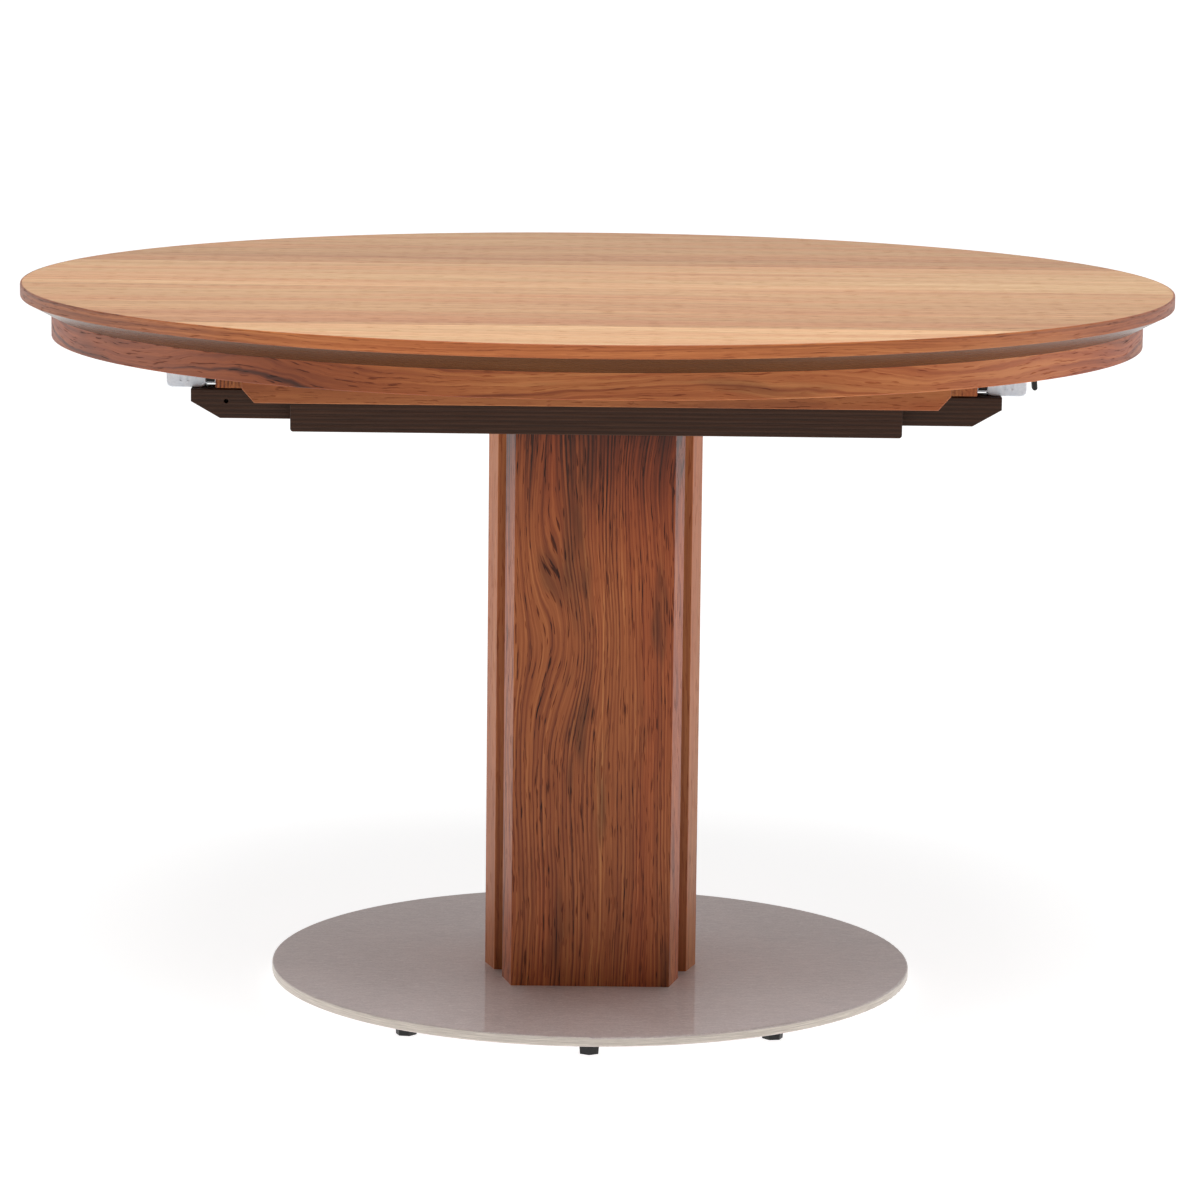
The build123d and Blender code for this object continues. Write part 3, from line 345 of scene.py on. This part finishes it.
def walnut(name, lay, seed, pitch=0.006, sweep=0.05, tone=0.5, radius=1.0, palette=WALNUT, leaves=None,
           swells=(), drifts=(), joint=None, rings=0.2, lines=0.4, rate=190.0, strand=1.8, fibres=0.2,
           clouds=0.3, dashes=0.15, smoke=0.0):
    """Oiled walnut.

    pitch is the width of a growth ring on the face, and sweep how far the grain wanders. tone is 0 for the
    palest colour of the palette. leaves are veneer leaves side by side, swells the spots that the grain
    bends round, drifts the tone added along the length, both the wood's own tone and painted shade, and
    joint where two boards meet. rings, lines, fibres, clouds, dashes and smoke are the strengths of the
    growth rings, the broken lines along them, the fibres, the slow clouds, the dark pores and the grey
    heartwood.
    rate is the scale of the broken lines across the grain, and strand along it.
    """
    finish = Finish(name)
    along, across, deep = walnut_places(finish, lay, radius)
    base_tone = tone
    if leaves:
        base_tone, leaf_number = leaf_parts(finish, across, leaves)
        deep = finish.plus(deep, finish.times(leaf_number, 9.0))
        along = finish.plus(along, finish.times(leaf_number, 5.0))
    deep = finish.plus(deep, seed)
    place = finish.join(along, across, deep)

    bend = finish.streaks(place, (2.4, 7.0, 7.0), detail=1.0, rough=0.4)
    waver = finish.streaks(place, (16.0, 50.0, 50.0), detail=3.0, rough=0.55)
    heart = finish.plus(across, finish.around(bend, 0.5, sweep), finish.around(waver, 0.5, 0.9 * pitch))
    for shape in swells:
        heart = swell(finish, heart, along, across, shape)
    grain = finish.join(along, heart, deep)

    wave = finish.math("FRACT", finish.math("DIVIDE", heart, pitch))
    late = finish.ramp(wave, ((0.0, 0.45), (0.12, 0.05), (0.45, 0.1), (0.75, 0.7), (0.9, 1.0), (1.0, 0.5)))
    broken = finish.range(finish.streaks(grain, (3.0, 90.0, 90.0)), 0.36, 0.66, 0.2, 1.0)
    streak = finish.streaks(grain, (strand, rate, rate), detail=4.0, rough=0.7)
    fibre = finish.streaks(grain, (12.0, 700.0, 700.0), detail=3.0, rough=0.65)
    cloud = finish.streaks(grain, (2.6, 16.0, 16.0), detail=3.0)
    pores = finish.range(finish.streaks(grain, (45.0, 800.0, 800.0), detail=1.0, rough=0.4), 0.62, 0.70)
    shade = finish.plus(
        base_tone,
        finish.around(finish.times(late, broken), 0.25, rings),
        finish.around(streak, 0.5, lines),
        finish.around(fibre, 0.5, fibres),
        finish.around(cloud, 0.5, clouds),
        finish.times(pores, dashes),
    )
    if leaves:
        for start, _ in leaves[1:]:
            gap = finish.math("ABSOLUTE", finish.math("SUBTRACT", across, start))
            shade = finish.plus(shade, finish.range(gap, 0.0005, 0.0025, -0.10, 0.0))
    # Tone added along the length: the wood's own tone, and painted shade where a caller darkens a board
    # towards where less light falls.
    if drifts:
        low = drifts[0][0]
        high = drifts[-1][0]
        reach = finish.math("DIVIDE", finish.math("SUBTRACT", along, low), high - low)
        reach = finish.plus(reach, finish.around(cloud, 0.5, 0.25))
        stops = [((spot - low) / (high - low), extra) for spot, extra in drifts]
        shade = finish.plus(shade, finish.ramp(reach, stops))
    if joint is not None:
        gap = finish.math("ABSOLUTE", finish.math("SUBTRACT", across, joint))
        shade = finish.plus(shade, finish.range(gap, 0.0002, 0.0011, -0.22, 0.0))

    stops = [(number / (len(palette) - 1), colour) for number, colour in enumerate(palette)]
    colour = finish.ramp(shade, stops)
    red = finish.streaks(grain, (1.3, 22.0, 22.0), shift=(3.0, 0, 0))
    colour = finish.tint(finish.times(finish.range(red, 0.4, 0.62), 0.4), colour, RED_TINT)
    if smoke:
        haze = finish.streaks(grain, (4.5, 22.0, 22.0), detail=3.0, rough=0.6, shift=(4.1, 0, 0))
        colour = finish.tint(finish.times(finish.range(haze, 0.54, 0.70), smoke), colour, SMOKE_TINT)
    gloss = finish.plus(OILED_ROUGH, finish.times(fibre, 0.08), finish.times(pores, 0.25))
    finish.wear(Base_Color=colour, Roughness=gloss, IOR=1.38)
    relief = finish.math("SUBTRACT", finish.times(fibre, 0.35), finish.plus(pores, finish.times(late, 0.25)))
    finish.bump(relief, 0.00012, 0.7)
    return finish.material


TOP_LEAVES = (
    # start along Y, tone: 0 is the palest
    (-0.600, 0.16),
    (-0.435, 0.36),
    (-0.310, 0.30),
    (-0.190, 0.27),
    (-0.060, 0.16),
    (0.062, 0.20),
    (0.186, 0.34),
    (0.310, 0.28),
    (0.436, 0.26),
)


# ---------------------------------------------------------------- other finishes

DARK_PLY_T = 0.0046          # two layers of the dark plywood
PALE_PLY_T = 0.0032          # and of the pale


def bevel_stain():
    """The dark stained board under the top: smooth, with a trace of grain."""
    finish = Finish("bevel_stain")
    along, across, deep = walnut_places(finish, "round", 0.57)
    place = finish.join(along, across, deep)
    grain = finish.streaks(place, (10.0, 700.0, 700.0), detail=4.0, rough=0.6)
    cloud = finish.streaks(place, (4.0, 30.0, 30.0))
    value = finish.plus(finish.times(grain, 0.6), finish.times(cloud, 0.4))
    colour = finish.ramp(value, ((0.3, linear(94, 60, 34)), (0.7, linear(76, 46, 25))))
    finish.wear(Base_Color=colour, Roughness=finish.range(grain, 0.3, 0.7, 0.24, 0.32), IOR=1.45)
    finish.bump(grain, 0.00005, 0.6)
    return finish.material


def dark_ply():
    """Dark stained plywood: layers lie flat, and every other one shows its end grain."""
    finish = Finish("dark_ply")
    height = finish.split(finish.place)[2]
    grain = finish.streaks(finish.place, (14.0, 420.0, 900.0), detail=4.0, rough=0.65)
    wander = finish.streaks(finish.place, (3.0, 3.0, 60.0))
    layers = finish.plus(finish.math("DIVIDE", height, DARK_PLY_T), finish.times(wander, 0.5))
    layer = finish.math("FRACT", layers)
    glue = finish.ramp(layer, ((0.0, 1.0), (0.08, 0.15), (0.5, 0.0), (0.58, 0.45), (0.92, 0.5), (1.0, 1.0)))
    value = finish.plus(finish.times(grain, 0.75), finish.times(glue, 0.35))
    shades = ((0.25, linear(76, 47, 28)), (0.55, linear(56, 33, 18)), (0.9, linear(34, 19, 11)))
    colour = finish.ramp(value, shades)
    finish.wear(Base_Color=colour, Roughness=finish.range(grain, 0.3, 0.7, 0.46, 0.6), IOR=1.36)
    finish.bump(finish.math("SUBTRACT", grain, glue), 0.0002, 0.6)
    return finish.material


def pale_ply():
    """Raw plywood."""
    finish = Finish("pale_ply")
    height = finish.split(finish.place)[2]
    grain = finish.streaks(finish.place, (12.0, 300.0, 900.0), detail=4.0, rough=0.6)
    layer = finish.math("FRACT", finish.math("DIVIDE", height, PALE_PLY_T))
    glue = finish.ramp(layer, ((0.0, 1.0), (0.1, 0.0), (0.5, 0.1), (0.6, 0.55), (1.0, 0.6)))
    value = finish.plus(finish.times(grain, 0.7), finish.times(glue, 0.35))
    colour = finish.ramp(value, ((0.2, linear(226, 198, 158)), (0.9, linear(176, 138, 96))))
    finish.wear(Base_Color=colour, Roughness=finish.range(grain, 0.3, 0.7, 0.55, 0.7))
    finish.bump(grain, 0.0001, 0.6)
    return finish.material


def metal(name, pale, dark, rough, brush=(40.0, 900.0, 900.0), metallic=1.0):
    """Worked metal: fine marks along the brush direction, with slow cloudiness."""
    finish = Finish(name)
    marks = finish.streaks(finish.place, brush, detail=4.0, rough=0.6)
    cloud = finish.noise(finish.place, detail=3.0, scale=18.0)
    value = finish.plus(finish.times(marks, 0.6), finish.times(cloud, 0.4))
    finish.wear(
        Base_Color=finish.ramp(value, ((0.3, dark), (0.7, pale))),
        Roughness=finish.range(value, 0.3, 0.7, rough - 0.07, rough + 0.07),
        Metallic=metallic,
    )
    finish.bump(marks, 0.00002, 0.8)
    return finish.material


def plate_steel():
    """The base: rolled steel with a fine tumbled grain under clear lacquer, and a turned edge."""
    finish = Finish("plate_steel")
    grit = finish.streaks(finish.place, (420.0, 700.0, 500.0), detail=3.0, rough=0.7)
    scuff = finish.streaks(finish.place, (60.0, 260.0, 100.0), detail=4.0, rough=0.7)
    cloud = finish.noise(finish.place, detail=4.0, rough=0.6, scale=7.0)
    value = finish.plus(finish.times(grit, 0.45), finish.times(scuff, 0.3), finish.times(cloud, 0.25))
    fleck = finish.range(finish.streaks(finish.place, (160.0, 640.0, 640.0)), 0.56, 0.74)
    colour = finish.ramp(value, ((0.36, linear(208, 196, 194)), (0.64, linear(242, 232, 230))))
    colour = finish.mix(finish.times(fleck, 0.7), colour, linear(250, 244, 240))
    upright = finish.math("ABSOLUTE", finish.split(finish.normal)[2])
    turned = finish.streaks(finish.place, (30.0, 30.0, 1500.0), detail=3.0, rough=0.6)
    edge = finish.ramp(turned, ((0.35, linear(206, 196, 186)), (0.65, linear(238, 230, 220))))
    colour = finish.mix(finish.range(upright, 0.3, 0.9), edge, colour)
    finish.wear(
        Base_Color=colour,
        Roughness=finish.range(value, 0.35, 0.65, 0.66, 0.78),
        Metallic=0.7,
        Coat_Weight=0.25,
        Coat_Roughness=0.04,
    )
    finish.bump(finish.plus(grit, finish.times(scuff, 0.5)), 0.00003, 0.7)
    return finish.material


def moulded(name, colour, lighter, rough):
    """Moulded plastic with a fine spark-eroded surface."""
    finish = Finish(name)
    grit = finish.noise(finish.place, detail=2.0, rough=0.6, scale=1400.0)
    cloud = finish.noise(finish.place, detail=2.0, scale=40.0)
    value = finish.plus(finish.times(grit, 0.5), finish.times(cloud, 0.5))
    finish.wear(
        Base_Color=finish.ramp(value, ((0.35, colour), (0.65, lighter))),
        Roughness=finish.range(value, 0.35, 0.65, rough - 0.06, rough + 0.08),
    )
    finish.bump(grit, 0.00006, 0.6)
    return finish.material


def felt():
    """Pressed felt pads."""
    finish = Finish("felt")
    fuzz = finish.noise(finish.place, detail=4.0, rough=0.75, twist=1.5, scale=900.0)
    cloud = finish.noise(finish.place, detail=2.0, scale=60.0)
    value = finish.plus(finish.times(fuzz, 0.7), finish.times(cloud, 0.3))
    colour = finish.ramp(value, ((0.3, linear(72, 70, 68)), (0.7, linear(118, 114, 110))))
    finish.wear(Base_Color=colour, Roughness=0.95, Sheen_Weight=0.4, Sheen_Roughness=0.6)
    finish.bump(fuzz, 0.0003, 0.8)
    return finish.material


# ---------------------------------------------------------------- which node wears which finish

RIM_R = 0.59                 # where the grain's length is measured along the rim
APRON_R = 0.5585             # and along the apron
ZINC_NODES = (
    "beam_screws", "gear_bar", "head_plate", "head_plate_screws", "lock_body", "lock_cam", "lock_pin",
    "lock_strike", "pinion_pins", "rail_screws", "tie_nuts", "tie_rods", "tie_washers",
)


def dress(material, *names):
    """Give whole nodes one finish."""
    for name in names:
        mesh = NODES[name].data
        mesh.materials.clear()
        mesh.materials.append(material)


def halves(*names):
    """The front and the rear node of each name."""
    return [f"{name}_{half}" for name in names for half in ("front", "rear")]


def dress_top():
    """The round top, its rim and apron, and the wood under it."""
    top = walnut(
        "walnut_top", "x", 1.3, pitch=0.013, sweep=0.06, leaves=TOP_LEAVES, palette=HONEY_WALNUT,
        rings=0.08, lines=0.52, rate=85.0, fibres=0.16, clouds=0.12, dashes=0.30,
    )
    dress(top, *halves("top_board"))
    # The rim's drifts are painted shade: darker towards its left and right ends, palest in the middle of the
    # front and of the back.
    rim = walnut(
        "walnut_rim", "round", 4.1, pitch=0.007, sweep=0.02, tone=0.32, radius=RIM_R,
        drifts=((-0.9, 0.26), (-0.5, 0.22), (-0.2, 0.04), (0.25, 0.02), (0.5, 0.16), (0.9, 0.22)),
        rings=0.16, lines=0.9, rate=260.0, fibres=0.4, clouds=0.35, dashes=0.18,
    )
    dress(rim, *halves("edge_band"))
    # The apron's drifts are partly the veneer's own tone, darker at the left, and partly painted light:
    # palest in the middle of the front and of the back, darker towards the sides.
    apron = walnut(
        "walnut_apron", "round", 8.9, pitch=0.009, sweep=0.11, tone=0.14, radius=APRON_R,
        palette=RED_WALNUT,
        drifts=(
            (-0.85, 0.42),
            (-0.6, 0.42),
            (-0.3, 0.44),
            (-0.1, 0.06),
            (0.35, 0.08),
            (0.6, 0.24),
            (0.85, 0.34),
        ),
        rings=0.34, lines=0.75, rate=170.0, fibres=0.3, clouds=0.6, dashes=0.25, smoke=0.4,
    )
    dress(apron, *halves("apron"))
    fascia = walnut(
        "walnut_fascia", "x", 2.9, pitch=0.012, sweep=0.04, tone=0.37, rings=0.14, lines=0.45,
        clouds=0.3, dashes=0.2,
    )
    dress(fascia, *halves("fascia"))
    batten = walnut(
        "walnut_batten", "y", 5.5, pitch=0.0035, sweep=0.01, tone=0.44, rings=0.5, lines=0.6, rate=300.0,
    )
    dress(batten, *halves("battens", "apron_blocks"), "seam_dowels")
    dress(bevel_stain(), *halves("under_board"))


def dress_column():
    """The column's boards. Its two faces are cut alike, and differ in their figure."""
    boards = dict(
        pitch=0.0042, palette=RED_WALNUT, rings=0.40, lines=1.0, rate=300.0, strand=4.0,
        fibres=0.5, clouds=0.3, dashes=0.4, smoke=0.6,
    )
    # The face's drifts darken it towards the top: partly darker heartwood, partly painted shade under the
    # beam and the top.
    face = walnut(
        "walnut_column_face", "z", 3.2, sweep=0.05, tone=0.37, joint=0.010,
        swells=(
            (-0.045, 0.490, 0.020, 0.075, 0.0, 0.62),
            (-0.030, 0.385, 0.042, 0.075, 0.019, 0.0),
            (0.045, 0.560, 0.030, 0.060, -0.010, 0.0),
        ),
        drifts=((0.47, 0.0), (0.58, 0.34), (0.66, 0.80)),
        **boards,
    )
    dress(face, "column_front_board")
    # The back's drifts darken it towards the top in the same way, more weakly: partly darker heartwood,
    # partly painted shade under the beam and the top.
    back = walnut(
        "walnut_column_back", "z", 8.6, sweep=0.09, tone=0.42, joint=-0.018,
        swells=(
            (0.035, 0.330, 0.024, 0.110, 0.0, 0.6),
            (-0.050, 0.450, 0.040, 0.080, 0.018, 0.0),
        ),
        drifts=((0.47, 0.0), (0.58, 0.2), (0.66, 0.4)),
        **boards,
    )
    dress(back, "column_rear_board")
    side = walnut(
        "walnut_column_side", "z", 6.4, pitch=0.006, sweep=0.03, tone=0.27, rings=0.14, lines=0.45,
        clouds=0.2, dashes=0.2,
    )
    dress(side, "column_side_left", "column_side_right")
    post = walnut(
        "walnut_column_post", "z", 9.9, pitch=0.006, sweep=0.05, tone=0.62, palette=RED_WALNUT,
        lines=0.7, clouds=1.1, smoke=1.0,
    )
    dress(post, "column_corner_posts")
    dress(pale_ply(), "column_end_blocks")


def dress_inside():
    """The leaf, the beams, and the works between the column and the top."""
    leaf = walnut("walnut_leaf", "x", 11.2, pitch=0.010, sweep=0.08, tone=0.42, rings=0.14)
    dress(leaf, "leaf_lower", "leaf_upper")
    dress(dark_ply(), *halves("cross_beam"), "lower_beams", "bearers")
    dress(felt(), "leaf_rests")
    dress(plate_steel(), "base_plate")
    rail = metal(
        "rail_alloy", linear(206, 210, 214), linear(168, 172, 178), 0.38, brush=(900.0, 30.0, 900.0),
    )
    dress(rail, "slide_rail_left", "slide_rail_right", *halves("sliders"))
    cap = metal(
        "cap_zinc", linear(244, 247, 250), linear(206, 213, 222), 0.40,
        brush=(240.0, 240.0, 240.0), metallic=0.55,
    )
    dress(cap, *halves("slide_caps"))
    zinc = metal(
        "zinc_plated", linear(214, 214, 208), linear(160, 162, 160), 0.34, brush=(500.0, 500.0, 500.0),
    )
    dress(zinc, *ZINC_NODES, *halves("slider_screws"))
    brass = metal("hinge_brass", linear(226, 190, 116), linear(178, 138, 72), 0.3)
    dress(brass, "leaf_hinge_plates", "leaf_hinge_pins")
    nylon = moulded("black_nylon", linear(14, 14, 14), linear(26, 26, 26), 0.5)
    dress(nylon, "floor_glides", "lock_lever", *halves("stop_buffers"))
    acetal = moulded("gear_acetal", linear(206, 204, 196), linear(224, 222, 214), 0.36)
    dress(acetal, "pinion_left", "pinion_right", *halves("racks"))


bpy.context.scene.view_settings.view_transform = "Standard"
make_camera()
make_softboxes()
make_room()
make_floor()
dress_top()
dress_column()
dress_inside()
